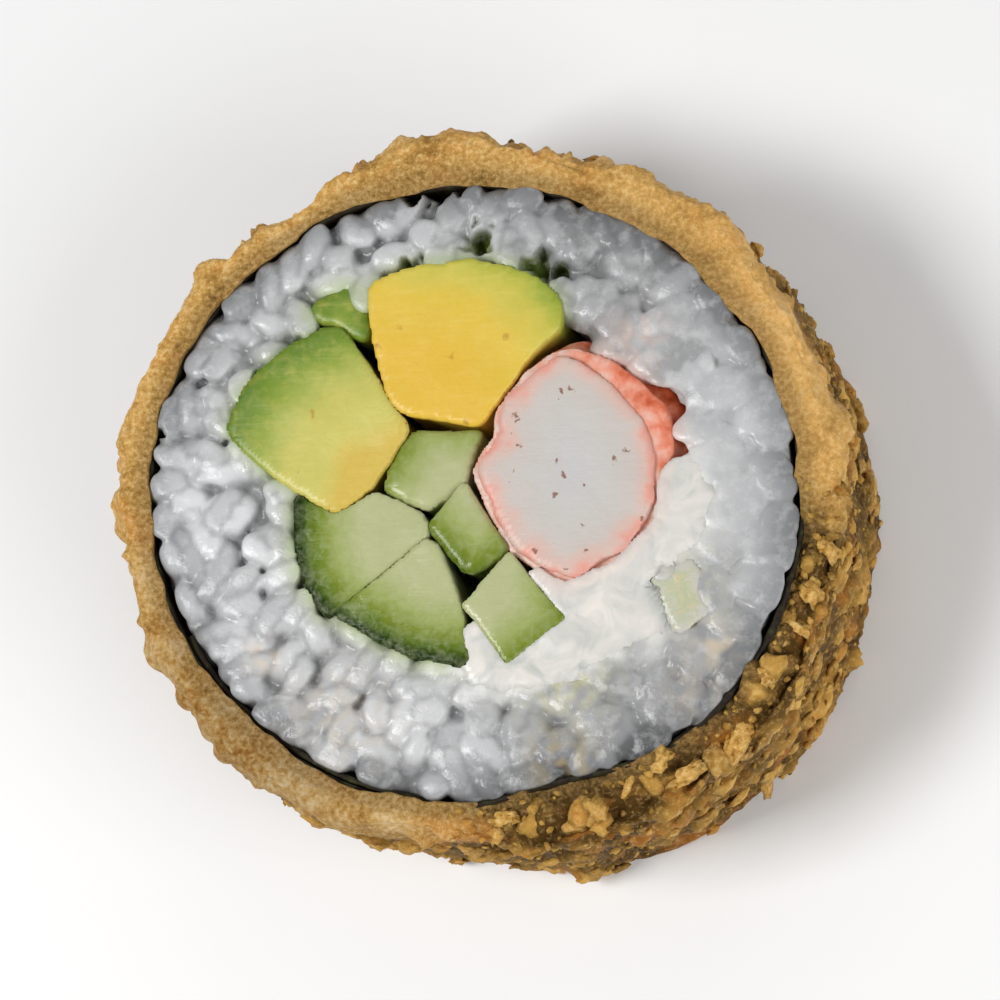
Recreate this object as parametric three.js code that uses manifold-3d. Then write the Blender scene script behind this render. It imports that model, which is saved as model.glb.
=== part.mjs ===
// One slice of a crunchy sushi roll, lying on its lower cut face.
// From the outside in: a fried crumb coating, a sheet of nori that laps over itself, a ring of rice, and in
// the middle a crab stick, avocado, cucumber and cream cheese. Every filling runs through from face to face.
// The frame: +Z is up and is the roll's own axis, and the origin is the middle of the underside.

import * as THREE from "three";
import { mergeVertices } from "three/addons/utils/BufferGeometryUtils.js";
import Module from "manifold-3d";

const wasm = await Module();
wasm.setup();

// Driving dimensions, in millimetres and degrees
const sliceHeight = 22;
const rollRadius = 26.9; // mean radius of the nori's outer side
const rollOval = 0.9; // the roll is this much longer and shorter than round
const ovalAngle = -20;
const flatSpot = { depth: 1.5, angle: 287, width: 15 }; // where the roll was pressed on the board
const noriThickness = 0.35;
const noriLapGap = 0.25;
const noriStart = 205; // the sheet's inner end, and it laps over itself for noriLap degrees
const noriLap = 48;
const noriRise = { after: 4, over: 14 }; // where the sheet comes up from under its lap
const fittingGap = 0.3; // between neighbouring pieces
const clearOfFloor = 0.35; // the thin nori and crab skin end this far above the underside
const cutReach = 3; // how far a cutting prism stands out past both faces
const coatingThickness = 3.3;
const coatingLumps = [
  { angle: 98, width: 16, rise: 1.9 },
  { angle: 48, width: 26, rise: 1.5 },
  { angle: 5, width: 24, rise: 0.5 },
  { angle: 290, width: 17, rise: 2.2 },
  { angle: 322, width: 12, rise: 0.6 },
  { angle: 232, width: 12, rise: 0.9 },
  { angle: 122, width: 7, rise: -1.6 },
  { angle: 262, width: 10, rise: -0.5 },
];
const coatingSteps = 96; // round the roll, a multiple of 4
const cragRows = 9; // up the wall
const rimRelief = 0.3;
const cragShake = { turn: 1.1, depth: 0.6, height: 0.55 }; // how far a point of the wall leaves its grid
const flakeCount = 26;
const flakeSize = { across: [1.8, 2.6], along: [3.2, 5.8], up: [2.4, 4.4] };
const goldenShare = 0.618; // spreads the flakes evenly up and down the wall
const grain = { length: 5.8, width: 2.8, height: 2.5 };
const grainPitch = { radial: 3.2, around: 5.3 };
const riceSteps = 60;
const riceRelief = 0.9; // how far the grains stand out of the packed rice
const knifePlane = 0.3; // the grains are cut off this far over the slice's height
const mergedDetail = { rice: 0.18, coating: 0.15 }; // finer facets than this are merged

const degrees = Math.PI / 180;
const turn = 2 * Math.PI;

// A seeded draw, so that every run gives the same slice
function seededDraw(seed) {
  let state = seed;
  return (low = 0, high = 1) => {
    state = (state + 0x6d2b79f5) | 0;
    let mixed = Math.imul(state ^ (state >>> 15), 1 | state);
    mixed = (mixed + Math.imul(mixed ^ (mixed >>> 7), 61 | mixed)) ^ mixed;
    return low + (high - low) * (((mixed ^ (mixed >>> 14)) >>> 0) / 4294967296);
  };
}

// A number from -1 to 1 that is always the same at the same point of the wall
function scatter(angle, z, kind) {
  const folded = Math.sin(angle * 12.9898 + z * 78.233 + kind * 37.719) * 43758.5453;
  return 2 * (folded - Math.floor(folded)) - 1;
}

// A smooth bump of height 1 round one angle
function bump(angle, centre, width) {
  const apart = ((((angle - centre) % 360) + 540) % 360) - 180;
  return Math.exp(-((apart / width) ** 2));
}

// Radius of the nori's outer side at an angle in degrees
function rollOutline(angle) {
  const oval = rollOval * Math.cos(2 * (angle - ovalAngle) * degrees);
  return rollRadius + oval - flatSpot.depth * bump(angle, flatSpot.angle, flatSpot.width);
}

// How far the sheet is sunk, this far round from its start: it comes up once it is past the lap
function noriSunk(along) {
  const risen = Math.min(1, Math.max(0, (along - noriLap - noriRise.after) / noriRise.over));
  return (noriThickness + noriLapGap) * (1 - risen);
}

// Radius of the packed rice, which keeps clear of the sheet and its sunk start
function riceEdge(angle) {
  const along = (((angle - noriStart) % 360) + 360) % 360;
  const sunk = Math.max(noriSunk(along), noriSunk(noriLap + 360 - along));
  return rollOutline(angle) - sunk - noriThickness - fittingGap;
}

function coatingDepth(angle) {
  return coatingLumps.reduce(
    (depth, lump) => depth + lump.rise * bump(angle, lump.angle, lump.width),
    coatingThickness,
  );
}

// The lumps of the fried coating: waves of falling size that never line up
function crag(angle, z) {
  const a = angle * degrees;
  const lumps = Math.sin(9 * a + 0.31 * z) + Math.sin(14 * a - 0.23 * z + 1.7);
  const crumbs = Math.sin(23 * a + 0.9 * z + 0.6) * Math.cos(0.62 * z + 5 * a);
  return 0.36 * lumps + 0.5 * crumbs;
}

function solidOf(geometry) {
  const bare = new THREE.BufferGeometry();
  bare.setAttribute("position", geometry.getAttribute("position"));
  if (geometry.index) bare.setIndex(geometry.index);
  const merged = mergeVertices(bare, 1e-4);
  return new wasm.Manifold(
    new wasm.Mesh({
      numProp: 3,
      vertProperties: new Float32Array(merged.attributes.position.array),
      triVerts: new Uint32Array(merged.index.array),
    }),
  );
}

function geometryOf(solid) {
  const mesh = solid.getMesh();
  const positions = new Float32Array(mesh.numVert * 3);
  for (let i = 0; i < mesh.numVert; i += 1) {
    positions.set(mesh.vertProperties.subarray(i * mesh.numProp, i * mesh.numProp + 3), i * 3);
  }
  const geometry = new THREE.BufferGeometry();
  geometry.setAttribute("position", new THREE.BufferAttribute(positions, 3));
  geometry.setIndex(new THREE.BufferAttribute(mesh.triVerts, 1));
  geometry.computeVertexNormals();
  return geometry;
}

// The one body that is left once loose scraps are dropped
function largestBody(solid) {
  const bodies = solid.decompose();
  return bodies.reduce((best, body) => (body.volume() > best.volume() ? body : best));
}

// An outline moved outwards by a distance, with its corners kept sharp
function grown(outline, distance) {
  const count = outline.length;
  const area = outline.reduce((sum, [x, y], i) => {
    const [nextX, nextY] = outline[(i + 1) % count];
    return sum + x * nextY - nextX * y;
  }, 0);
  const outward = area > 0 ? 1 : -1;
  const normal = ([x, y], [nextX, nextY]) => {
    const length = Math.hypot(nextX - x, nextY - y);
    return [(outward * (nextY - y)) / length, (outward * (x - nextX)) / length];
  };
  return outline.map((point, i) => {
    const before = normal(outline[(i + count - 1) % count], point);
    const after = normal(point, outline[(i + 1) % count]);
    const middle = [before[0] + after[0], before[1] + after[1]];
    const reach = distance / Math.max(0.5, (middle[0] ** 2 + middle[1] ** 2) / 2);
    return [point[0] + middle[0] * reach, point[1] + middle[1] * reach];
  });
}

// A closed shape whose corners are rounded off by a radius
function roundedShape(outline, radius) {
  const count = outline.length;
  const shape = new THREE.Shape();
  outline.forEach((corner, i) => {
    const here = new THREE.Vector2(...corner);
    const towards = (other) => {
      const way = new THREE.Vector2(...other).sub(here);
      return here.clone().add(way.clone().setLength(Math.min(radius, way.length() * 0.35)));
    };
    const from = towards(outline[(i + count - 1) % count]);
    const to = towards(outline[(i + 1) % count]);
    if (i === 0) shape.moveTo(from.x, from.y);
    else shape.lineTo(from.x, from.y);
    shape.quadraticCurveTo(here.x, here.y, to.x, to.y);
  });
  shape.closePath();
  return shape;
}

function prism(shape, bottom, top) {
  const geometry = new THREE.ExtrudeGeometry(shape, {
    depth: top - bottom,
    bevelEnabled: false,
    curveSegments: 2,
  });
  geometry.translate(0, 0, bottom);
  return geometry;
}

// A solid that cuts an outline, grown by a distance, right through the slice
function cutter(outline, distance = 0) {
  const points = grown(outline, distance).map(([x, y]) => new THREE.Vector2(x, y));
  return solidOf(prism(new THREE.Shape(points), -cutReach, sliceHeight + cutReach));
}

// A ring from a closed lathe profile of [share of the wall from inside to outside, height] points.
// place(angle, share, height) gives each point its true angle, radius and height.
function warpedRing(profile, segments, place) {
  const closed = [...profile, profile[0]].map(([share, height]) => new THREE.Vector2(1 + share, height));
  const geometry = new THREE.LatheGeometry(closed, segments);
  geometry.rotateX(90 * degrees);
  const position = geometry.getAttribute("position");
  for (let i = 0; i < position.count; i += 1) {
    const x = position.getX(i);
    const y = position.getY(i);
    const angle = Math.round((Math.atan2(y, x) / degrees) * 1000) / 1000;
    const [turned, radius, z] = place(angle, Math.hypot(x, y) - 1, position.getZ(i));
    position.setXYZ(i, ...polar(turned, radius), z);
  }
  return geometry;
}

function polar(angle, radius) {
  return new THREE.Vector2(radius * Math.cos(angle * degrees), radius * Math.sin(angle * degrees));
}

// A disc whose edge is radiusAt(angle) from the axis
function warpedDisc(radiusAt, bottom, top, segments) {
  const points = Array.from({ length: segments }, (_, i) => {
    const angle = (i / segments) * 360;
    return polar(angle, radiusAt(angle));
  });
  return prism(new THREE.Shape(points), bottom, top);
}

// Fillings, as outlines on the cut face
const crabCoreOutline = [
  [8.4, 10.5], [11.2, 8.9], [14.6, 5.2], [15.3, 1.4], [14.7, -2.5], [11.8, -5.4], [8.2, -7.0], [4.7, -4.4],
  [3.0, -1.4], [1.5, 1.8], [3.4, 3.9], [3.5, 6.4], [6.2, 9.4],
];
const crabSkinOutline = [
  [8.7, 11.4], [12.7, 9.7], [16.4, 6.2], [17.0, 2.6], [16.1, 0.2], [15.7, -2.9], [12.5, -6.2], [8.3, -7.9],
  [3.9, -5.0], [2.1, -1.6], [0.5, 1.9], [2.6, 4.2], [2.7, 6.7], [5.8, 10.1],
];
const avocadoTopOutline = [
  [-8.2, 17.4], [-5.4, 18.6], [0.4, 19.2], [4.8, 17.9], [7.4, 15.9], [7.6, 13.3], [5.4, 11.7], [1.8, 7.0],
  [0.9, 5.8], [-1.7, 6.3], [-5.6, 7.2], [-6.8, 9.6], [-7.8, 13.9],
];
const avocadoLeftOutline = [
  [-11.1, 14.0], [-8.9, 11.1], [-7.6, 8.6], [-5.4, 5.4], [-8.4, 1.0], [-11.0, -0.9], [-14.3, 1.0],
  [-17.7, 3.5], [-20.0, 6.0], [-19.3, 8.4], [-17.4, 10.8], [-14.5, 12.9],
];
const avocadoEndOutline = [
  [-13.4, 16.4], [-10.6, 17.6], [-8.9, 17.2], [-8.5, 14.4], [-8.7, 13.2], [-10.2, 13.9], [-11.2, 14.9],
  [-13.1, 15.1],
];
const cucumberWedgeLeftOutline = [
  [-14.4, 0.1], [-12.3, -1.1], [-11.0, -1.7], [-9.6, -0.9], [-7.6, 0.0], [-4.2, -1.6], [-3.5, -3.5],
  [-11.7, -9.9], [-13.6, -7.2], [-14.5, -3.8],
];
const cucumberWedgeLowerOutline = [
  [-3.3, -4.05], [-1.9, -6.0], [-0.6, -9.6], [-0.1, -13.4], [-0.7, -14.2], [-4.7, -13.4], [-8.0, -11.6],
  [-10.9, -9.8],
];
const cucumberStickInnerOutline = [[-0.3, 0.5], [2.6, -4.1], [2.4, -5.4], [-0.2, -6.4], [-3.1, -2.8]];
const cucumberStickLowerOutline = [[3.6, -5.5], [8.0, -10.8], [3.4, -14.1], [0.0, -9.5]];
const cucumberStickRightOutline = [[15.2, -8.0], [18.4, -6.3], [20.6, -9.8], [17.6, -12.2]];
const cucumberHeartOutline = [
  [-4.6, 5.0], [0.9, 4.9], [0.2, 3.1], [-0.4, 1.0], [-3.4, -1.2], [-6.8, 0.5], [-6.1, 2.8],
];
const creamOutline = [
  [17.4, 1.9], [18.7, 1.4], [19.3, -1.6], [18.5, -4.6], [15.4, -6.4], [14.3, -8.6], [16.0, -11.6],
  [14.0, -12.9], [8.9, -14.6], [5.2, -16.0], [0.4, -15.7], [-0.3, -12.0], [5.0, -7.0], [12.0, -5.0],
  [15.0, -1.5],
];

// The fillings touch here and there, and this outline joins the gaps between them, where no rice got in
const innerGapsOutline = [
  [-12.0, 16.0], [-2.0, 16.0], [7.0, 15.0], [8.4, 13.6], [10.4, 13.2], [10.9, 11.4], [14.2, 8.9],
  [16.4, 9.0], [18.0, 6.6], [17.5, 3.9], [18.2, 2.3], [14.0, -8.0], [4.0, -13.0], [-6.0, -10.0],
  [-12.0, -4.0], [-16.0, 6.0],
];

const colours = {
  coating: new THREE.MeshStandardMaterial({ color: 0xb88946, roughness: 0.75, metalness: 0 }),
  nori: new THREE.MeshStandardMaterial({ color: 0x1c190f, roughness: 0.6, metalness: 0 }),
  rice: new THREE.MeshStandardMaterial({ color: 0xc3c6c6, roughness: 0.35, metalness: 0 }),
  crabCore: new THREE.MeshStandardMaterial({ color: 0xd8d0cb, roughness: 0.5, metalness: 0 }),
  crabSkin: new THREE.MeshStandardMaterial({ color: 0xe8826f, roughness: 0.45, metalness: 0 }),
  avocado: new THREE.MeshStandardMaterial({ color: 0xd8c458, roughness: 0.4, metalness: 0 }),
  cucumber: new THREE.MeshStandardMaterial({ color: 0x9fb573, roughness: 0.3, metalness: 0 }),
  cream: new THREE.MeshStandardMaterial({ color: 0xecebe6, roughness: 0.35, metalness: 0 }),
};

const slice = new THREE.Group();

function add(name, geometry, material) {
  const mesh = new THREE.Mesh(geometry, material);
  mesh.name = name;
  slice.add(mesh);
  return mesh;
}

// Plain filling sticks: name, outline, corner radius, how far the top end stands over the cut, and colour
const sticks = [
  ["avocado_top", avocadoTopOutline, 1.2, 0.1, colours.avocado],
  ["avocado_left", avocadoLeftOutline, 1.0, 0.0, colours.avocado],
  ["avocado_end", avocadoEndOutline, 0.7, -0.6, colours.avocado],
  ["cucumber_wedge_left", cucumberWedgeLeftOutline, 0.7, -0.2, colours.cucumber],
  ["cucumber_wedge_lower", cucumberWedgeLowerOutline, 0.7, 0.0, colours.cucumber],
  ["cucumber_stick_inner", cucumberStickInnerOutline, 0.4, -0.4, colours.cucumber],
  ["cucumber_stick_lower", cucumberStickLowerOutline, 0.4, 0.1, colours.cucumber],
  ["cucumber_stick_right", cucumberStickRightOutline, 0.6, -0.1, colours.cucumber],
  ["cucumber_heart", cucumberHeartOutline, 0.9, -0.9, colours.cucumber],
];
sticks.forEach(([name, outline, corner, proud, material]) => {
  add(name, prism(roundedShape(outline, corner), 0, sliceHeight + proud), material);
});

// Crab stick: a pale core inside a pink skin
const crabCoreTop = sliceHeight + 0.25;
const crabSkinTop = sliceHeight - 0.05;
const crabSkinGap = 0.15;
add("crab_stick_core", prism(roundedShape(crabCoreOutline, 1.2), 0, crabCoreTop), colours.crabCore);
const skinBare = solidOf(prism(roundedShape(crabSkinOutline, 0.9), clearOfFloor, crabSkinTop));
add("crab_stick_skin", geometryOf(skinBare.subtract(cutter(crabCoreOutline, crabSkinGap))), colours.crabSkin);

// Cream cheese, spread round the crab stick and the cucumber
const creamTop = sliceHeight - 0.1;
const creamNeighbours = [
  crabSkinOutline, cucumberWedgeLowerOutline, cucumberStickLowerOutline, cucumberStickRightOutline,
];
const creamBare = solidOf(prism(roundedShape(creamOutline, 1.0), 0, creamTop));
const creamSolid = creamNeighbours.reduce(
  (left, outline) => left.subtract(cutter(outline, fittingGap)),
  creamBare,
);
add("cream_cheese", geometryOf(largestBody(creamSolid)), colours.cream);

// Nori: one sheet wound round the rice, whose last part laps over its start
function noriSheet() {
  const step = 8; // degrees
  const count = Math.round((360 + noriLap) / step);
  const side = (inset) =>
    Array.from({ length: count + 1 }, (_, i) => {
      const angle = noriStart + i * step;
      return polar(angle, rollOutline(angle) - inset - noriSunk(i * step));
    });
  return new THREE.Shape([...side(0), ...side(noriThickness).reverse()]);
}
const noriTop = sliceHeight - 0.2;
add("nori", prism(noriSheet(), clearOfFloor, noriTop), colours.nori);

// Rice: a packed ring with the grains that show at both cut faces fused on
const fillingOutlines = [
  ...sticks.map(([, outline]) => outline), crabSkinOutline, creamOutline, innerGapsOutline,
];

function insideOutline(x, y, outline) {
  let inside = false;
  outline.forEach(([x1, y1], i) => {
    const [x2, y2] = outline[(i + 1) % outline.length];
    if (y1 > y !== y2 > y && x < x1 + ((y - y1) / (y2 - y1)) * (x2 - x1)) inside = !inside;
  });
  return inside;
}

const grainShape = new THREE.SphereGeometry(0.5, 5, 4);
grainShape.rotateZ(90 * degrees);

function oneGrain(x, y, z, yaw, pitch, size) {
  const matrix = new THREE.Matrix4().compose(
    new THREE.Vector3(x, y, z),
    new THREE.Quaternion().setFromEuler(new THREE.Euler(0, pitch, yaw, "ZYX")),
    new THREE.Vector3(grain.length * size, grain.width * size, grain.height * size),
  );
  return solidOf(grainShape.clone().applyMatrix4(matrix));
}

// Grains in rings over the rice, each turned and shifted by the seeded draw
function grainLayer(z, seed) {
  const draw = seededDraw(seed);
  const covered = fillingOutlines.map((outline) => grown(outline, 0.2 * grain.width));
  const grains = [];
  for (let inset = grain.width / 2; inset < rollRadius; inset += grainPitch.radial) {
    const count = Math.max(1, Math.round((turn * (rollRadius - inset)) / grainPitch.around));
    const offset = draw(0, 360);
    for (let i = 0; i < count; i += 1) {
      const angle = offset + ((i + draw(-0.2, 0.2)) / count) * 360;
      const radius = riceEdge(angle) - inset + draw(-0.5, 0.5);
      const x = radius * Math.cos(angle * degrees);
      const y = radius * Math.sin(angle * degrees);
      const yaw = draw(0, Math.PI);
      const pitch = draw(-0.5, 0.5);
      const size = draw(0.85, 1.1);
      const height = z + draw(-0.25, 0.3);
      if (!covered.some((outline) => insideOutline(x, y, outline))) {
        grains.push(oneGrain(x, y, height, yaw, pitch, size));
      }
    }
  }
  return grains;
}

const coreEdge = (angle) => riceEdge(angle) - 0.1; // just inside the grains at the rim
const riceCore = solidOf(warpedDisc(coreEdge, riceRelief, sliceHeight - riceRelief, riceSteps));
const riceLimit = solidOf(warpedDisc(riceEdge, 0, sliceHeight + knifePlane, riceSteps));
const pocket = wasm.Manifold.union(fillingOutlines.map((outline) => cutter(outline, fittingGap)));
const topSeed = 11;
const bottomSeed = 23;
const grains = [...grainLayer(sliceHeight - riceRelief, topSeed), ...grainLayer(riceRelief, bottomSeed)];
const riceSolid = wasm.Manifold.union([riceCore, ...grains]).intersect(riceLimit).subtract(pocket);
add("rice", geometryOf(largestBody(riceSolid.simplify(mergedDetail.rice))), colours.rice);

// Fried coating: a ring whose outer wall is broken up into crags, with torn crumb flakes fused to it
const wallHeight = { low: 2.2, high: 19.8 };
const rimHeight = 21;
const coatingProfile = [
  [0, 0], [0.5, 0], [0.86, 0.7],
  ...Array.from({ length: cragRows }, (_, i) => [
    1, THREE.MathUtils.lerp(wallHeight.low, wallHeight.high, i / (cragRows - 1)),
  ]),
  [0.93, 21.3], [0.5, 22.1], [0, 21.9],
];
function coatingPoint(angle, share, height) {
  const onWall = share > 0.8;
  const shake = (kind) => (onWall ? scatter(angle, height, kind) : 0);
  const turned = angle + cragShake.turn * shake(1);
  const depth = coatingDepth(turned) - fittingGap;
  const relief = onWall ? crag(turned, height) + cragShake.depth * shake(2) : 0;
  const radius = rollOutline(turned) + fittingGap + share * (depth + relief);
  const onRim = height > rimHeight;
  const lift = onRim ? rimRelief * share * scatter(angle, height, 4) : cragShake.height * shake(3);
  return [turned, radius, Math.max(0, height + lift)];
}
const coatingBare = solidOf(warpedRing(coatingProfile, coatingSteps, coatingPoint));

// A flattened lump with its corners pulled out of place: size is its length across, along and up the wall
function tornFlake(draw, size) {
  const flake = new THREE.IcosahedronGeometry(0.5, 0);
  flake.deleteAttribute("normal");
  flake.deleteAttribute("uv");
  const corners = mergeVertices(flake);
  const position = corners.getAttribute("position");
  for (let i = 0; i < position.count; i += 1) {
    const pull = draw(0.75, 1.3);
    position.setXYZ(i, position.getX(i) * pull, position.getY(i) * pull, position.getZ(i) * pull);
  }
  return corners.scale(...size);
}

function coatingFlakes(seed) {
  const draw = seededDraw(seed);
  const flakes = [];
  for (let i = 0; i < flakeCount; i += 1) {
    const angle = ((i + draw(-0.3, 0.3)) / flakeCount) * 360;
    const z = THREE.MathUtils.lerp(wallHeight.low, wallHeight.high, (i * goldenShare) % 1);
    const radius = rollOutline(angle) + coatingDepth(angle) + crag(angle, z);
    const matrix = new THREE.Matrix4().compose(
      new THREE.Vector3(...polar(angle, radius), z),
      new THREE.Quaternion().setFromEuler(
        new THREE.Euler(draw(-0.9, 0.9), draw(-0.3, 0.3), angle * degrees, "ZYX"),
      ),
      new THREE.Vector3(1, 1, 1),
    );
    const size = [draw(...flakeSize.across), draw(...flakeSize.along), draw(...flakeSize.up)];
    flakes.push(solidOf(tornFlake(draw, size).applyMatrix4(matrix)));
  }
  return flakes;
}
const flakeSeed = 5;
const holeEdge = (angle) => rollOutline(angle) + fittingGap;
const coatingLimit = solidOf(warpedDisc(() => 2 * rollRadius, 0, sliceHeight + knifePlane, 12));
const coatingHole = solidOf(warpedDisc(holeEdge, -cutReach, sliceHeight + cutReach, coatingSteps));
const coatingSolid = wasm.Manifold.union([coatingBare, ...coatingFlakes(flakeSeed)])
  .intersect(coatingLimit)
  .subtract(coatingHole);
add("crumb_coating", geometryOf(largestBody(coatingSolid.simplify(mergedDetail.coating))), colours.coating);

// The origin is the middle of the underside
const extent = new THREE.Box3().setFromObject(slice);
const middle = extent.getCenter(new THREE.Vector3());
slice.position.set(-middle.x, -middle.y, -extent.min.z);

export default slice;
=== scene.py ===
# Crunchy sushi roll: one fried slice, lying on its cut face
import math
import random

import bmesh
import bpy
from mathutils import Matrix, Vector, noise
from mathutils.bvhtree import BVHTree
from mathutils.kdtree import KDTree


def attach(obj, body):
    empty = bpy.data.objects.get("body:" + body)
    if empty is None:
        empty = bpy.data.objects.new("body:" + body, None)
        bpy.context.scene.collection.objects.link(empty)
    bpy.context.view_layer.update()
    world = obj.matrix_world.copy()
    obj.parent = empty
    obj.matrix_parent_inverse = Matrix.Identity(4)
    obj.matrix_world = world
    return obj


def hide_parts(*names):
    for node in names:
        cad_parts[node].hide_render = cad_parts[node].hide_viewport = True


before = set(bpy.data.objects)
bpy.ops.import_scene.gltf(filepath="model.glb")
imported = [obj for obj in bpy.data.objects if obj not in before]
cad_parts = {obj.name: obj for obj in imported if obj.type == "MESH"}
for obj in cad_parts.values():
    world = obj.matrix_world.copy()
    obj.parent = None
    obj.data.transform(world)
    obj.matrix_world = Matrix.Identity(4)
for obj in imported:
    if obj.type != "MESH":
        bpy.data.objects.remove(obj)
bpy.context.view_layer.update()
scene = bpy.context.scene

mm = 0.001
perMm = 1000.0  # texture scale that gives features of 1 mm

# The roll's own form, in millimetres and degrees round its axis
roll = {
    "axis": Vector((-0.726, -0.885, 0.0)),  # from the frame's origin
    "height": 22.0,
    "radius": 26.9,  # mean radius of the nori's outer side
    "oval": 0.9,
    "ovalAngle": -20.0,
    "flatSpot": (287.0, 15.0, -1.5),  # angle, width and rise, where the roll was pressed
    "noriThickness": 0.35,
    "noriStart": 205.0,
    "noriLap": 48.0,
    "noriRise": (4.0, 14.0),  # degrees from the lap's end to where the sheet's start lies free
    "lapDepth": 0.6,
    "coatingThickness": 3.3,
    "coatingLumps": (  # angle, width and rise
        (98.0, 16.0, 1.9), (48.0, 26.0, 1.5), (5.0, 24.0, 0.5), (290.0, 17.0, 2.2),
        (322.0, 12.0, 0.6), (232.0, 12.0, 0.9), (122.0, 7.0, -1.6), (262.0, 10.0, -0.5),
    ),
}
middle = 0.5 * roll["height"]
toFrame = Matrix.Scale(mm, 4) @ Matrix.Translation(roll["axis"])
toRoll = toFrame.inverted()


# Degrees from one angle to another, either way round
def turnPast(angle, centre):
    return (angle - centre + 180.0) % 360.0 - 180.0


def bump(angle, centre, width):
    return math.exp(-(turnPast(angle, centre) / width) ** 2)


def clamp(value, low=0.0, high=1.0):
    return min(high, max(low, value))


def smooth(low, high, value):
    share = clamp((value - low) / (high - low))
    return share * share * (3.0 - 2.0 * share)


def mixed(a, b, share):
    return a + (b - a) * share


def polar(angle, radius, height=0.0):
    turned = math.radians(angle)
    return Vector((radius * math.cos(turned), radius * math.sin(turned), height))


def angleOf(point):
    return math.degrees(math.atan2(point.y, point.x))


def rollOutline(angle):
    ovalTurn = math.radians(2.0 * (angle - roll["ovalAngle"]))
    spot, width, rise = roll["flatSpot"]
    return roll["radius"] + roll["oval"] * math.cos(ovalTurn) + rise * bump(angle, spot, width)


# How far the nori lies under its own lap
def noriSunk(along):
    after, over = roll["noriRise"]
    return roll["lapDepth"] * (1.0 - clamp((along - roll["noriLap"] - after) / over))


def riceEdge(angle):
    along = (angle - roll["noriStart"]) % 360.0
    sunk = max(noriSunk(along), noriSunk(roll["noriLap"] + 360.0 - along))
    return rollOutline(angle) - sunk - roll["noriThickness"] + 0.28


def coatingDepth(angle):
    lumps = sum(rise * bump(angle, at, width) for at, width, rise in roll["coatingLumps"])
    return roll["coatingThickness"] + lumps


def grainNoise(point, size, seed=0):
    return noise.noise(point / size + Vector((7.3 * seed, 3.1 * seed, 5.7 * seed)))


# Rounded crumbs with creases between them, each with its own height
def crumbs(point, size, seed=0):
    gaps, cells = noise.voronoi(point / size + Vector((3.7 * seed, 9.1 * seed, 1.3 * seed)))
    return smooth(0.0, 0.62, gaps[1] - gaps[0]) * (0.35 + 0.65 * noise.cell(cells[0] * 91.7)) - 0.4


def colour(red, greenLightThrough, blue):  # from the eye's 0 to 255 to linear light
    shares = (value / 255.0 for value in (red, greenLightThrough, blue))
    return tuple(s / 12.92 if s <= 0.04045 else ((s + 0.055) / 1.055) ** 2.4 for s in shares) + (1.0,)


# Shader nodes
def addNode(tree, kind, inputs=None, **settings):
    made = tree.nodes.new("ShaderNode" + kind)
    for name, value in settings.items():
        setattr(made, name, value)
    for name, value in (inputs or {}).items():
        if isinstance(value, bpy.types.NodeSocket):
            tree.links.new(value, made.inputs[name])
        else:
            made.inputs[name].default_value = value
    return made


# Soft is how much light goes in, how far each colour goes, and how deep in millimetres
def startMaterial(name, roughness, specular, soft=(0.0, (1.0, 0.2, 0.1), 50.0), others=None):
    material = bpy.data.materials.new(name)
    material.use_nodes = True
    tree = material.node_tree
    surface = tree.nodes["Principled BSDF"]
    finish = {
        "Roughness": roughness, "Specular IOR Level": specular, "Subsurface Weight": soft[0],
        "Subsurface Radius": soft[1], "Subsurface Scale": soft[2] * mm, **(others or {}),
    }
    for socket, value in finish.items():
        surface.inputs[socket].default_value = value
    place = addNode(tree, "TexCoord").outputs["Object"]
    return material, tree, surface, place


def noiseOf(tree, place, size, detail=4.0, roughness=0.55, distortion=0.0):
    inputs = {
        "Vector": place, "Scale": perMm / size, "Detail": detail, "Roughness": roughness,
        "Distortion": distortion,
    }
    return addNode(tree, "TexNoise", inputs).outputs["Fac"]


def cellsOf(tree, place, size):
    return addNode(tree, "TexVoronoi", {"Vector": place, "Scale": perMm / size}).outputs["Distance"]


def rampOf(tree, factor, stops):
    made = addNode(tree, "ValToRGB", {"Fac": factor})
    stops = [(position, colour(*tone)) for position, tone in stops]
    elements = made.color_ramp.elements
    elements[0].position, elements[0].color = stops[0]
    elements[1].position, elements[1].color = stops[-1]
    for position, tone in stops[1:-1]:
        elements.new(position).color = tone
    return made.outputs["Color"]


def mixOf(tree, factor, a, b):
    tones = [colour(*tone) if isinstance(tone, tuple) else tone for tone in (a, b)]
    return addNode(tree, "Mix", {0: factor, 6: tones[0], 7: tones[1]}, data_type="RGBA").outputs[2]


def mathOf(tree, operation, a, b, c=0.0):
    return addNode(tree, "Math", {0: a, 1: b, 2: c}, operation=operation).outputs[0]


# Values added up, each by its own weight
def blendOf(tree, *parts, start=0.0):
    total = start
    for value, weight in parts:
        total = mathOf(tree, "MULTIPLY_ADD", value, weight, total)
    return total


def rangeOf(tree, value, low, high, to=(0.0, 1.0)):
    inputs = {"Value": value, "From Min": low, "From Max": high, "To Min": to[0], "To Max": to[1]}
    return addNode(tree, "MapRange", inputs, clamp=True).outputs["Result"]


def attributeOf(tree, name, output="Fac"):
    return addNode(tree, "Attribute", attribute_name=name).outputs[output]


def bumpOf(tree, height, distance, strength=1.0):
    inputs = {"Height": height, "Distance": distance * mm, "Strength": strength}
    return addNode(tree, "Bump", inputs).outputs["Normal"]


def plug(tree, surface, sockets):
    for name, value in sockets.items():
        tree.links.new(value, surface.inputs[name])


def meshOf(bm, name):
    mesh = bpy.data.meshes.new(name)
    bm.to_mesh(mesh)
    bm.free()
    return mesh


def addObject(name, data):
    made = bpy.data.objects.new(name, data)
    scene.collection.objects.link(made)
    return made


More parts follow.
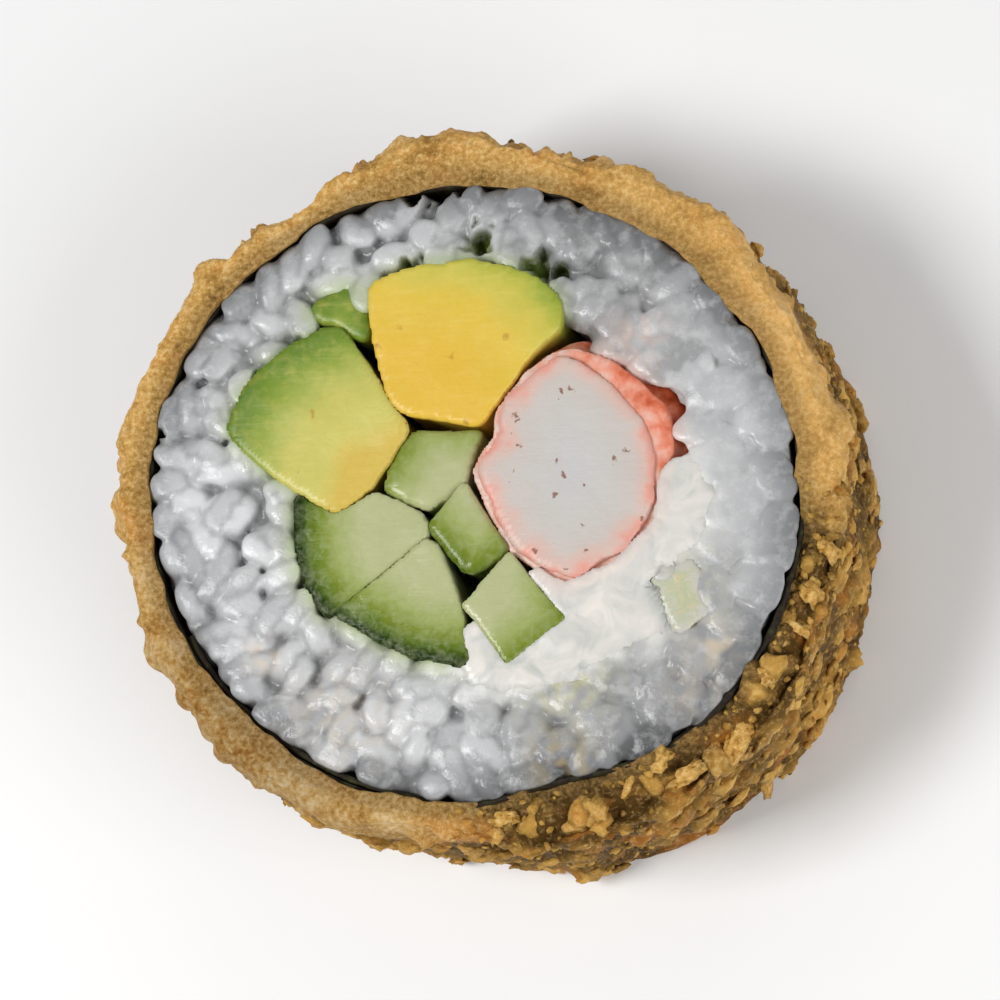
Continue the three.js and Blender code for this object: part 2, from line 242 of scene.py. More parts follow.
# Pieces are made in millimetres round the roll's axis, and finished in the frame
def nodeCopy(nodeName):
    bm = bmesh.new()
    bm.from_mesh(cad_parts[nodeName].data)
    bmesh.ops.transform(bm, matrix=toRoll, verts=bm.verts)
    bmesh.ops.remove_doubles(bm, verts=bm.verts, dist=0.005)
    return bm


def nodeTree(nodeName):
    bm = nodeCopy(nodeName)
    tree = BVHTree.FromBMesh(bm)
    bm.free()
    return tree


# Keeps the part between two heights, with level cuts
def cutLevel(bm, low, high):
    for height, side in ((high, 1.0), (low, -1.0)):
        geom = bm.verts[:] + bm.edges[:] + bm.faces[:]
        level = {"plane_co": (0.0, 0.0, height), "plane_no": (0.0, 0.0, side)}
        cut = bmesh.ops.bisect_plane(bm, geom=geom, dist=0.0001, clear_outer=True, **level)
        rims = [item for item in cut["geom_cut"] if isinstance(item, bmesh.types.BMEdge)]
        bmesh.ops.triangle_fill(bm, use_beauty=True, edges=rims, normal=level["plane_no"])
    bmesh.ops.recalc_face_normals(bm, faces=bm.faces)


# One even mesh of all that is in bm; squeezed in height first, its walls get longer faces
def voxelForm(bm, voxel, squeeze=1.0):
    bmesh.ops.scale(bm, vec=(1.0, 1.0, squeeze), verts=bm.verts)
    mesh = meshOf(bm, "form")
    form = addObject("form", mesh)
    remesh = form.modifiers.new("voxels", "REMESH")
    remesh.mode = "VOXEL"
    remesh.voxel_size = voxel
    made = bmesh.new()
    made.from_object(form, bpy.context.evaluated_depsgraph_get())
    bpy.data.objects.remove(form)
    bpy.data.meshes.remove(mesh)
    bmesh.ops.scale(made, vec=(1.0, 1.0, 1.0 / squeeze), verts=made.verts)
    return made


def relax(bm):
    axes = {"use_axis_x": True, "use_axis_y": True, "use_axis_z": True}
    bmesh.ops.smooth_vert(bm, verts=bm.verts, factor=0.5, **axes)
    bm.normal_update()


def finishPiece(bm, name, slotName, material, *replaced):
    bmesh.ops.transform(bm, matrix=toFrame, verts=bm.verts)
    mesh = meshOf(bm, name)
    mesh.shade_smooth()
    mesh.materials.append(material)
    piece = addObject(name, mesh)
    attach(piece, "root")
    if replaced:
        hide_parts(*replaced)
    print("made", name, len(mesh.polygons), "faces")
    return piece


# Adds one turned and stretched copy of a shape to a mesh, and gives back its new vertices
def addCopy(bm, shape, matrix):
    before = len(bm.verts)
    bm.from_mesh(shape)
    bm.verts.ensure_lookup_table()
    fresh = bm.verts[before:]
    for vertex in fresh:
        vertex.co = matrix @ vertex.co
    return fresh


# Camera, light and floor
view = {
    "azimuth": 50.0, "elevation": 73.0,  # the photograph's angle to the shown cut face
    "lens": 135.0, "distance": 0.315, "aim": Vector((0.0, 0.0, 0.013)),
}
turned, raised = math.radians(view["azimuth"]), math.radians(view["elevation"])
back = Vector((math.sin(turned) * math.cos(raised), -math.cos(turned) * math.cos(raised), math.sin(raised)))
right = Vector((0.0, 1.0, 0.0)).cross(back).normalized()
facing = Matrix((right, back.cross(right), back)).transposed().to_4x4()
cameraData = bpy.data.cameras.new("camera")
cameraData.lens = view["lens"]
cameraData.clip_start = 0.01
camera = addObject("camera", cameraData)
camera.matrix_world = Matrix.Translation(view["aim"] + back * view["distance"]) @ facing
scene.camera = camera
scene.view_settings.view_transform = "Standard"

lights = {  # place over the floor in metres, size and watts
    "key": (Vector((-0.22, -0.06, 0.36)), 0.15, 1.1),
    "fill": (Vector((0.34, -0.20, 0.24)), 0.36, 1.15),
    "rear": (Vector((0.06, 0.36, 0.26)), 0.30, 0.2),
}
for name, (place, size, power) in lights.items():
    lamp = bpy.data.lights.new(name, "AREA")
    lamp.size = size
    lamp.energy = power
    lampObject = addObject(name, lamp)
    lampObject.location = place
    lampObject.rotation_euler = (-place).to_track_quat("-Z", "Y").to_euler()

world = bpy.data.worlds.new("studio")
world.use_nodes = True
world.node_tree.nodes["Background"].inputs["Color"].default_value = (1.0, 1.0, 1.0, 1.0)
world.node_tree.nodes["Background"].inputs["Strength"].default_value = 0.24
scene.world = world

floorBm = bmesh.new()
bmesh.ops.create_grid(floorBm, x_segments=1, y_segments=1, size=3.0)
floorMesh = meshOf(floorBm, "floor")
floor = addObject("floor", floorMesh)
floorMaterial = startMaterial("paleFloor", 0.7, 0.2, others={"Base Color": (0.94, 0.94, 0.94, 1.0)})[0]
floorMesh.materials.append(floorMaterial)
print("stage done")


# Fried coating: a ring of crumbs whose upper rim the knife left flat, but for the part that broke away
coating = {
    "steps": 760, "wallRows": 74, "rimRows": 20,
    "gap": -0.08,  # pressed a little into the nori
    "overNori": 0.6,  # how far its crumbs lean over the nori's edge
    "broken": (272.0, 356.0, 8.0),  # from, to and how gradual
    "slope": 2.4,
    "crumbs": ((4.2, 1.0), (2.2, 0.7)),  # size and height
    "fineCrumbs": ((1.0, 0.34), (0.7, 0.16)),
    "brokenCrumbs": 1.8,  # how much higher they are on the broken rim
    "calm": (222.0, 48.0),  # where the fine ones are lower, as angle and width
    "calmed": 0.6,  # and by what share
    "sand": ((1.0, 0.2), (0.45, 0.15)),  # size and height of the cut rim's grit
    "pit": (-68.0, 13.0, 1.5, 2.0),  # the dark hollow in the side: angle, height, radius and depth
    "wallRadius": 31.0,  # where the pit is
    "doughy": (228.0, 34.0),  # painted light: where the rim is made lighter and more golden, as angle and width
    "paintedRimLight": (24.0, 48.0),  # where its crumbs are lightest
}


# 1 where the rim was cut clean, 0 where it is broken off
def cleanRim(angle):
    start, end, soft = coating["broken"]
    around = angle % 360.0
    return 1.0 - smooth(start - soft, start + soft, around) * (1.0 - smooth(end - soft, end + soft, around))


def broadCrag(angle, height):
    a = math.radians(angle)
    lumps = math.sin(9 * a + 0.31 * height) + math.sin(14 * a - 0.23 * height + 1.7)
    crags = math.sin(23 * a + 0.9 * height + 0.6) * math.cos(0.62 * height + 5 * a)
    return 0.36 * lumps + 0.4 * crags


# Profile of the plain ring: share of the wall from inside to outside, and height
def coatingProfile():
    top = roll["height"]
    rim = [(i / coating["rimRows"] * 0.92, top) for i in range(coating["rimRows"] + 1)]
    shoulder = [(0.965, top - 0.2), (0.99, top - 0.55)]
    rows = coating["wallRows"]
    wall = [(1.0, mixed(top - 0.95, 0.9, i / rows)) for i in range(rows + 1)]
    foot = [(0.98, 0.6), (0.94, 0.3), (0.88, 0.1), (0.8, 0.0), (0.5, 0.0), (0.0, 0.0)]
    inside = [(0.0, top * share) for share in (0.3, 0.6, 0.9)]
    return rim + shoulder + wall + foot + inside


# Where a point of the plain ring goes, and how far it stands out of it
def coatingPoint(angle, share, height):
    top = roll["height"]
    outward = smooth(0.8, 1.0, share)
    clean = cleanRim(angle)
    inner = rollOutline(angle) + coating["gap"]
    thick = coatingDepth(angle) - coating["gap"]
    ring = polar(angle, inner + share * thick, height)
    edgeRound = -0.5 * smooth(0.75, 1.0, share) + 0.1 * math.sin(math.pi * share)
    slope = mixed(-coating["slope"] * share ** 1.3, edgeRound, clean) * smooth(top - 5.0, top, height)
    fine = sum(rise * crumbs(ring, size, 2 + i) for i, (size, rise) in enumerate(coating["fineCrumbs"]))
    fine += 0.18 * grainNoise(ring, 1.1, 5)
    fine *= mixed(0.6, 1.4, smooth(-0.25, 0.25, grainNoise(ring, 5.0, 15)))
    crags = sum(rise * crumbs(ring, size, i) for i, (size, rise) in enumerate(coating["crumbs"]))
    calm = coating["calmed"] * bump(angle, *coating["calm"]) * smooth(top - 8.0, top - 4.0, height)
    crags += 0.5 * grainNoise(ring, 4.6, 4) + fine * (1.0 - calm)
    sand = sum(rise * grainNoise(ring, size, 8 + i) for i, (size, rise) in enumerate(coating["sand"]))
    sand += 0.3 * crumbs(ring, 1.3, 7) + 0.25 * grainNoise(ring, 2.6, 6)
    torn = coating["brokenCrumbs"] * crags + 0.3 * crumbs(ring, 0.6, 16)
    cut = mixed(torn, sand, clean) if height > top - 2.0 else 0.0
    held = clean * clean  # by the nori, whose edge it covers there
    rise = max(-1.9, cut) * (1.0 - outward) * mixed(1.0, smooth(0.0, 0.25, share), held)
    bulge = (0.5 * broadCrag(angle, height) + crags) * smooth(0.45, 1.0, share)
    bulge *= mixed(0.4, 1.0, smooth(0.0, 2.0, height))
    pitAngle, pitHeight, pitRadius, pitDepth = coating["pit"]
    pitGap = math.hypot(math.radians(turnPast(angle, pitAngle)) * coating["wallRadius"], height - pitHeight)
    bulge -= pitDepth * outward * (1.0 - smooth(0.4 * pitRadius, pitRadius, pitGap))
    ragged = clamp(0.5 + 1.2 * grainNoise(ring, 3.4, 11) + 0.3 * grainNoise(ring, 1.2, 12))
    lean = coating["overNori"] * held * ragged
    bulge -= lean * (1.0 - smooth(0.0, 0.2, share)) * smooth(top - 0.5, top, height)
    point = ring + polar(angle, bulge) + Vector((0.0, 0.0, rise + slope))
    point.z = max(0.0, point.z)
    return point, mixed(cut, crags, outward)


def makeCoating():
    bm = bmesh.new()
    profile = coatingProfile()
    rows = len(profile)
    bmesh.ops.create_grid(bm, x_segments=coating["steps"], y_segments=rows, size=0.5)
    relief = bm.verts.layers.float.new("relief")
    rim = bm.verts.layers.float.new("rim")
    nearNori = bm.verts.layers.float.new("nearNori")
    dough = bm.verts.layers.float.new("dough")
    paintedRimLight = bm.verts.layers.float.new("paintedRimLight")
    for vertex in bm.verts:
        angle = 360.0 * (vertex.co.x + 0.5)
        share, height = profile[round((vertex.co.y + 0.5) * rows) % rows]
        vertex.co, vertex[relief] = coatingPoint(angle, share, height)
        vertex[rim] = cleanRim(angle) * smooth(roll["height"] - 5.0, roll["height"] - 0.8, height)
        # Mask of the painted shade on the crust next to the nori
        vertex[nearNori] = (1.0 - smooth(0.05, 0.5, share)) * mixed(1.4, 1.0, cleanRim(angle))
        vertex[dough] = vertex[rim] * bump(angle, *coating["doughy"])
        vertex[paintedRimLight] = vertex[rim] * bump(angle, *coating["paintedRimLight"])
    bmesh.ops.remove_doubles(bm, verts=bm.verts, dist=0.001)  # closes the ring
    bmesh.ops.recalc_face_normals(bm, faces=bm.faces)
    return bm


def fryMaterial():
    gloss = {"Specular Tint": (1.0, 0.8, 0.46, 1.0)}
    soft = (0.15, (1.0, 0.55, 0.2), 1.2)
    material, tree, surface, place = startMaterial("friedCrumb", 0.5, 0.16, soft, gloss)
    relief = attributeOf(tree, "relief")
    rim = attributeOf(tree, "rim")
    tone = attributeOf(tree, "tone")
    nearNori = attributeOf(tree, "nearNori")
    dough = attributeOf(tree, "dough")
    broad = noiseOf(tree, place, 4.4, 3.0, 0.6)
    patchy = noiseOf(tree, place, 3.4, 4.0, 0.62)
    coarse = noiseOf(tree, place, 1.6, 5.0, 0.62)
    fine = noiseOf(tree, place, 0.4, 4.0, 0.65)
    # Partly painted shade: low places of the relief are darker, with a random tone by noise besides
    wallToneAndShade = rampOf(tree, blendOf(tree, (relief, 0.3), (coarse, 0.6), start=0.172), [
        (0.2, (86, 60, 24)), (0.36, (132, 100, 46)), (0.5, (170, 130, 62)),
        (0.66, (206, 160, 80)), (0.86, (230, 190, 116)),
    ])
    rimTone = rampOf(tree, blendOf(tree, (patchy, 0.45), (fine, 0.65)), [
        (0.3, (122, 86, 38)), (0.44, (182, 138, 68)), (0.56, (214, 170, 98)),
        (0.72, (240, 206, 148)),
    ])
    base = mixOf(tree, rim, wallToneAndShade, rimTone)
    base = mixOf(tree, rangeOf(tree, broad, 0.52, 0.68, (0.0, 0.4)), base, (212, 132, 50))
    base = mixOf(tree, rangeOf(tree, patchy, 0.42, 0.26, (0.0, 0.6)), base, (116, 80, 30))
    specks = rangeOf(tree, fine, 0.52, 0.7)
    specks = mathOf(tree, "MULTIPLY", specks, rangeOf(tree, rim, 0.0, 1.0, (0.3, 0.5)))
    base = mixOf(tree, specks, base, (240, 208, 144))
    crumbly = noiseOf(tree, place, 0.8, 5.0, 0.7, 0.5)
    doughy = rampOf(tree, blendOf(tree, (patchy, 0.4), (crumbly, 0.4), (fine, 0.25)), [
        (0.4, (126, 80, 30)), (0.48, (158, 120, 66)), (0.56, (178, 152, 108)),
        (0.66, (196, 184, 156)),
    ])
    base = mixOf(tree, mathOf(tree, "MULTIPLY", dough, 0.85), base, doughy)
    # Painted light: the rim made lighter and more golden at its right
    paintedRimLight = mathOf(tree, "MULTIPLY", attributeOf(tree, "paintedRimLight"), 0.4)
    base = mixOf(tree, paintedRimLight, base, (238, 186, 110))
    # Painted shade: the crust is darkened next to the nori
    noriEdgeShade = mixOf(tree, rangeOf(tree, fine, 0.35, 0.65), (72, 56, 28), (160, 128, 78))
    base = mixOf(tree, mathOf(tree, "MULTIPLY", nearNori, 0.6), base, noriEdgeShade)
    crisp = rampOf(tree, blendOf(tree, (crumbly, 0.6), (fine, 0.4)), [
        (0.36, (138, 98, 42)), (0.46, (200, 152, 76)), (0.58, (232, 190, 116)),
        (0.7, (242, 212, 152)),
    ])
    base = mixOf(tree, tone, base, crisp)
    grit = blendOf(tree, (noiseOf(tree, place, 0.17, 3.0, 0.7), 0.7), start=fine)
    plug(tree, surface, {
        "Base Color": base,
        "Roughness": rangeOf(tree, coarse, 0.3, 0.7, (0.44, 0.74)),
        "Normal": bumpOf(tree, grit, 0.17, 0.9),
    })
    return material


fryFinish = fryMaterial()
finishPiece(makeCoating(), "friedCoating", "fried_crumb", fryFinish, "crumb_coating")


# Crumb flakes, torn and angular, stuck flat on the coating: size, thinness, how far out, what share of them
# lies on the broken rim, and paleness
flakes = {
    "paleFlakes": {
        "count": 14, "size": (1.8, 2.8), "flat": (0.2, 0.3), "detail": 3, "seed": 23, "out": 0.04,
        "broken": 0.3, "pale": (0.5, 0.9),
        "placed": (  # angle, share of the rim, size, breadth and turn of the ones that stand out
            (-71.8, 0.6, 3.7, 0.68, 0.4), (-18.5, 0.5, 2.6, 0.75, 1.0), (-24.0, 0.5, 3.2, 0.42, 1.5),
            (-44.0, 0.72, 5.0, 0.42, 0.3), (-53.0, 0.6, 3.6, 0.45, 0.0), (-33.0, 0.4, 2.0, 0.8, 0.6),
            (-84.0, 0.35, 2.6, 0.6, 0.2), (-62.0, 0.3, 2.4, 0.5, 0.8), (-11.0, 0.62, 2.6, 0.6, 0.9),
        ),
    },
    "crumbFlakes": {
        "count": 430, "size": (1.3, 3.4), "flat": (0.28, 0.46), "detail": 2, "seed": 24, "out": 0.02,
        "broken": 0.05, "pale": (0.0, 0.7),
    },
    "crumbBits": {
        "count": 1300, "size": (0.5, 1.3), "flat": (0.35, 0.8), "detail": 1, "seed": 22, "out": 0.03,
        "broken": 0.1, "pale": (0.0, 0.5),
    },
}


# A few torn shapes of unit size that are copied about
def tornShapes(count, detail, seed):
    shapes = []
    for i in range(count):
        bm = bmesh.new()
        bmesh.ops.create_icosphere(bm, subdivisions=detail, radius=0.5)
        for vertex in bm.verts:
            pull = 1.0 + 0.5 * crumbs(vertex.co, 0.45, seed + i)
            pull += 0.5 * grainNoise(vertex.co, 0.35, seed + i)
            pull += (0.35 if detail > 2 else 0.0) * grainNoise(vertex.co, 0.14, seed + i)
            vertex.co *= clamp(pull, 0.45, 1.4)
            vertex.co.x -= 0.8 * vertex.co.y * vertex.co.y
        for key in ("tone", "relief"):
            bm.verts.layers.float.new(key)
        shapes.append(meshOf(bm, "torn"))
    return shapes


# Lies flat on the coating's side, or on its rim where share is under 1
def flakeMatrix(settings, angle, share, height, size, breadth, thinness, turn, leans):
    point, _ = coatingPoint(angle, share, height)
    stretch = Matrix.Diagonal((size * thinness, size, size * breadth, 1.0))
    lean = Matrix.Rotation(leans[0], 4, "Z") @ Matrix.Rotation(leans[1], 4, "Y")
    if share < 1.0:
        lean = Matrix.Rotation(-1.2 + leans[0], 4, "Y") @ lean
    point += polar(angle, size * settings["out"])
    point.z = max(point.z, size * 0.45)
    outward = Matrix.Rotation(math.radians(angle), 4, "Z")
    return Matrix.Translation(point) @ outward @ lean @ Matrix.Rotation(turn, 4, "X") @ stretch


def scatterFlakes(name, settings):
    draw = random.Random(settings["seed"])
    shapes = tornShapes(10, settings["detail"], settings["seed"])
    top = roll["height"]
    laid = [
        (flakeMatrix(settings, angle, share, top, size, breadth, 0.3, turn, (0.1, 0.1)), 0.95)
        for angle, share, size, breadth, turn in settings.get("placed", ())
    ]
    for _ in range(settings["count"]):
        angle, share = draw.uniform(0.0, 360.0), 1.0
        height = draw.uniform(0.6, top - 2.5 - 5.0 * bump(angle, *coating["calm"]))
        if draw.random() < settings["broken"]:
            angle, share, height = draw.uniform(266.0, 360.0), 0.12 + 0.88 * draw.random() ** 1.5, top
        size = mixed(*settings["size"], draw.random() ** 1.7)
        leans = (draw.gauss(0.0, 0.16), draw.gauss(0.0, 0.16))
        matrix = flakeMatrix(
            settings, angle, share, height, size, draw.uniform(0.55, 0.95), draw.uniform(*settings["flat"]),
            draw.uniform(0.0, math.tau), leans)
        laid.append((matrix, mixed(*settings["pale"], draw.random() ** 2)))
    bm = bmesh.new()
    tone = bm.verts.layers.float.new("tone")
    relief = bm.verts.layers.float.new("relief")
    for matrix, paleness in laid:
        lift = draw.uniform(-0.4, 0.7)
        for vertex in addCopy(bm, draw.choice(shapes), matrix):
            vertex[tone] = paleness
            vertex[relief] = lift
            vertex.co.z = max(0.0, vertex.co.z)
    for shape in shapes:
        bpy.data.meshes.remove(shape)
    return finishPiece(bm, name, "fried_crumb", fryFinish, "crumb_coating")


for name, settings in flakes.items():
    scatterFlakes(name, settings)


# Nori, wound round the rice and lapped at the lower left
nori = {
    "columns": 480, "rows": 26, "low": 0.35, "high": 21.3,
    "swollen": 0.12,  # by the rice's damp
    "noiseRing": 20.0,  # radius at which its noise is read
}


def makeNori():
    thickness = roll["noriThickness"] + nori["swollen"]
    bm = bmesh.new()
    bmesh.ops.create_grid(bm, x_segments=nori["columns"], y_segments=nori["rows"], size=0.5)
    for vertex in bm.verts:
        along = (vertex.co.x + 0.5) * (360.0 + roll["noriLap"])
        angle = roll["noriStart"] + along
        level = polar(angle, nori["noiseRing"])
        torn = 0.3 * grainNoise(level, 2.6, 1) + 0.15 * grainNoise(level, 0.8, 2)
        height = mixed(nori["low"], nori["high"] + torn, vertex.co.y + 0.5)
        raised = polar(angle, nori["noiseRing"], height)
        ripple = 0.12 * grainNoise(raised, 3.0, 3) + 0.07 * grainNoise(raised, 0.7, 4)
        radius = rollOutline(angle) - noriSunk(along) - 0.5 * thickness - 0.1 + ripple
        vertex.co = polar(angle, radius, height)
    bmesh.ops.recalc_face_normals(bm, faces=bm.faces)
    bmesh.ops.solidify(bm, geom=bm.faces, thickness=thickness)
    return bm


def noriMaterial():
    material, tree, surface, place = startMaterial("noriSheet", 0.6, 0.25)
    base = rampOf(tree, noiseOf(tree, place, 1.0, 5.0, 0.65), [
        (0.34, (18, 13, 6)), (0.5, (38, 28, 14)), (0.6, (44, 46, 22)), (0.72, (78, 70, 44)),
    ])
    plug(tree, surface, {
        "Base Color": base,
        "Normal": bumpOf(tree, noiseOf(tree, place, 0.4, 4.0), 0.12, 0.9),
    })
    return material


finishPiece(makeNori(), "noriWrap", "nori", noriMaterial(), "nori")

# Rice: grains packed side by side at each cut face, stuck together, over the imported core
rice = {
    "grain": Vector((5.0, 2.85, 2.75)), "sizes": (0.82, 1.12),
    "count": 150, "rounds": 60, "apart": 2.66, "margin": 0.9,
    "depth": 1.15, "under": {"count": 130, "rounds": 12, "depth": 2.2},
    "slab": (17.8, 20.7), "core": (3.8, 18.2),  # from and to, in height
    "sheets": {  # seed, mesh size and whether it is the lower one
        "riceGrains": (41, 0.232, False), "riceGrainsBelow": (42, 0.34, True),
    },
    "pressed": 0.25, "knife": 22.1, "soft": (0.5, 0.25),  # left and right
    "smeared": (-6.0, 62.0),  # angle and width of what the knife dragged flat
    "paintedShades": ((60.0, 44.0, 0.2), (-50.0, 32.0, 0.27)),  # painted shade: angle, width and how much darker
    "hollows": (  # x, y and radius, seen on the cut face; sunk, and painted dark as shade
        (-2.6, 25.9, 1.25), (-4.8, 25.3, 0.9), (-0.6, 26.1, 0.9), (-17.7, 10.7, 0.7), (-14.6, 13.4, 0.5),
        (-26.6, 6.2, 0.5), (0.9, 21.2, 1.0), (-5.0, 19.0, 1.0), (6.0, 18.7, 1.1), (7.6, 18.3, 0.9),
        (-21.8, -15.4, 0.7), (-17.6, -20.2, 0.6),
    ),
    "stains": (  # x, y, reach and colour of what the knife dragged over the rice
        (8.2, -15.8, 3.4, Vector((200, 198, 160))), (20.6, -13.4, 1.7, Vector((216, 198, 172))),
        (-17.1, -13.0, 1.3, Vector((226, 206, 184))), (18.8, -16.8, 2.6, Vector((176, 168, 156))),
        (17.8, -9.0, 3.2, Vector((206, 202, 176))), (14.0, 12.0, 2.6, Vector((206, 186, 178))),
        (-10.4, -18.7, 4.5, Vector((200, 192, 180))), (7.9, -22.6, 2.6, Vector((172, 154, 120))),
    ),
    "light": Vector((199, 200, 201)), "noriShade": Vector((138, 140, 142)), "white": Vector((220, 220, 220)),
    "greenLightThrough": Vector((166, 184, 122)), "pink": Vector((232, 196, 184)), "cream": Vector((228, 227, 222)),
    "hollowShade": Vector((58, 52, 34)), "greenHollowShade": Vector((84, 104, 28)),
}
riceTree = nodeTree("rice")
greenTrees = [nodeTree(name) for name in (
    "avocado_top", "avocado_left", "avocado_end", "cucumber_wedge_left", "cucumber_wedge_lower")]
pinkTrees = [nodeTree("crab_stick_skin")]
creamTrees = [nodeTree("cream_cheese")]


def nearness(trees, point, reach):
    near = 3.0 * reach
    for tree in trees:
        found = tree.find_nearest(point, near)[3]
        near = near if found is None else found
    return math.exp(-(near / reach) ** 2)


# How far the knife smeared the rice
def smearShare(point):
    return bump(angleOf(point), *rice["smeared"]) * smooth(8.0, 18.0, point.xy.length)


def hollowShare(point):
    share = 0.0
    for x, y, radius in rice["hollows"]:
        apart = math.hypot(point.x - x, point.y - y)
        if apart < 2.0 * radius:
            apart *= 1.0 + 0.7 * grainNoise(point, 0.9, 70)
            share = max(share, 1.0 - smooth(0.5 * radius, 1.15 * radius, apart))
    return share


def liesOnRice(point):
    return riceTree.ray_cast(Vector((point.x, point.y, 40.0)), Vector((0.0, 0.0, -1.0)))[0] is not None


# Keeps a grain's point on the rice, off the nori and the fillings, and out of the hollows
def holdOnRice(point):
    wall = riceTree.find_nearest(Vector((point.x, point.y, middle)))[0]
    away = Vector((point.x - wall.x, point.y - wall.y, 0.0))
    apart = max(away.length, 0.001)
    push = Vector()
    if not liesOnRice(point):
        push -= away * ((apart + rice["margin"]) / apart)
    elif apart < rice["margin"]:
        push += away * ((rice["margin"] - apart) / apart)
    for x, y, radius in rice["hollows"]:
        gap = Vector((point.x - x, point.y - y, 0.0))
        if gap.length < radius + 1.0:
            push += gap.normalized() * (radius + 1.0 - gap.length)
    return push


def spineOf(grain):
    half = 0.34 * rice["grain"].x * grain["size"] * math.cos(grain["pitch"])
    way = polar(math.degrees(grain["yaw"]), half)
    return [grain["centre"] - way, grain["centre"].copy(), grain["centre"] + way]


# Grains thrown on the rice, that then push each other apart until they lie side by side
def packGrains(draw, count, rounds):
    grains = []
    while len(grains) < count:
        centre = polar(draw.uniform(0.0, 360.0), roll["radius"] * math.sqrt(draw.random()))
        if not liesOnRice(centre):
            continue
        way = Vector((draw.gauss(0.0, 1.0), draw.gauss(0.0, 1.0), draw.gauss(0.0, 0.75))).normalized()
        grains.append({
            "centre": centre, "yaw": math.atan2(way.y, way.x), "pitch": math.asin(way.z),
            "size": draw.uniform(*rice["sizes"]), "tone": draw.random(),
        })
    for _ in range(rounds):
        spines = [spineOf(grain) for grain in grains]
        tree = KDTree(3 * count)
        for i, spine in enumerate(spines):
            for j, point in enumerate(spine):
                tree.insert(point, 3 * i + j)
        tree.balance()
        for i, (grain, spine) in enumerate(zip(grains, spines)):
            push = Vector()
            turn = 0.0
            for point in spine:
                force = holdOnRice(point)
                for other, number, distance in tree.find_range(point, rice["apart"]):
                    if number // 3 != i and distance > 0.0001:
                        force += (point - other) * (0.4 * (rice["apart"] - distance) / distance)
                push += force / 3.0
                arm = point - grain["centre"]
                turn += arm.x * force.y - arm.y * force.x
            grain["centre"] += push
            grain["yaw"] += clamp(0.06 * turn, -0.25, 0.25)
    return grains


def grainShapes(count, around, along):
    shapes = []
    for i in range(count):
        bm = bmesh.new()
        bmesh.ops.create_uvsphere(bm, u_segments=around, v_segments=along, radius=0.5)
        bmesh.ops.rotate(bm, verts=bm.verts, cent=(0, 0, 0), matrix=Matrix.Rotation(math.pi / 2, 3, "Y"))
        for vertex in bm.verts:
            x = vertex.co.x
            vertex.co.yz *= 1.0 + 0.12 * (1.0 - 4.0 * x * x)
            vertex.co.z += 0.16 * x * x
            vertex.co *= 1.0 + 0.18 * grainNoise(vertex.co, 0.45, 50 + i)
        shapes.append(meshOf(bm, "grain"))
    return shapes


# A grain's top is cut by the knife, and its side pressed by the nori
def settleGrain(vertices):
    for vertex in vertices:
        soft = mixed(*rice["soft"], smearShare(vertex.co))
        knife = rice["knife"] + 0.12 * grainNoise(vertex.co, 7.0, 8)
        over = vertex.co.z - (knife - soft)
        if over > 0.0:
            vertex.co.z = knife - soft * math.exp(-over / soft)
        edge = riceEdge(angleOf(vertex.co))
        out = vertex.co.xy.length
        if out > edge - 0.3:
            vertex.co.xy *= (edge - 0.3 * math.exp(-(out - edge + 0.3) / 0.3)) / out


# The rice's colour, with painted shade towards the nori, at its top and lower right, in the creases and in
# the hollows, and painted green light next to the avocado and cucumber
def riceTintAndShade(point, tone, depth):
    # Painted shade: the rice grows darker towards the nori
    inward = smooth(0.0, 4.2, riceEdge(angleOf(point)) - point.xy.length)
    tint = rice["noriShade"].lerp(rice["light"], 0.35 + 0.65 * inward)
    tint *= mixed(mixed(0.74, 0.9, inward), 1.07, tone)
    # Painted shade: darker at the top and at the lower right
    tint *= 1.0 - sum(share * bump(angleOf(point), at, width) for at, width, share in rice["paintedShades"])
    patch = grainNoise(point, 3.5, 61) + 0.5 * grainNoise(point, 1.2, 62)
    tint = tint.lerp(rice["white"], clamp(0.5 * patch) * inward)
    # Painted light: the green of the avocado and cucumber showing through the translucent grains next to
    # them
    tint = tint.lerp(rice["greenLightThrough"], 0.6 * nearness(greenTrees, point, 1.2))
    tint = tint.lerp(rice["pink"], 0.75 * nearness(pinkTrees, point, 1.3))
    ragged = clamp(0.75 + 1.2 * grainNoise(point, 1.6, 63))
    tint = tint.lerp(rice["cream"], 0.95 * ragged * nearness(creamTrees, point, 2.0))
    for x, y, reach, stain in rice["stains"]:
        apart = math.hypot(point.x - x, point.y - y) / reach
        if apart < 2.0:
            patchy = clamp(0.6 + 1.5 * grainNoise(point, 1.0, 64))
            tint = tint.lerp(stain, 0.8 * math.exp(-apart * apart) * patchy)
    # Painted shade: the rice is darker the deeper it lies below the cut, in the creases between grains
    tint *= mixed(0.7, 1.0, smooth(1.5, 0.25, depth))
    # Painted shade: the hollows are coloured dark, greener next to the avocado and cucumber
    hollowShade = hollowShare(point)
    if hollowShade > 0.0:
        tint = tint.lerp(rice["hollowShade"].lerp(rice["greenHollowShade"], nearness(greenTrees, point, 4.0)), hollowShade)
    return tint


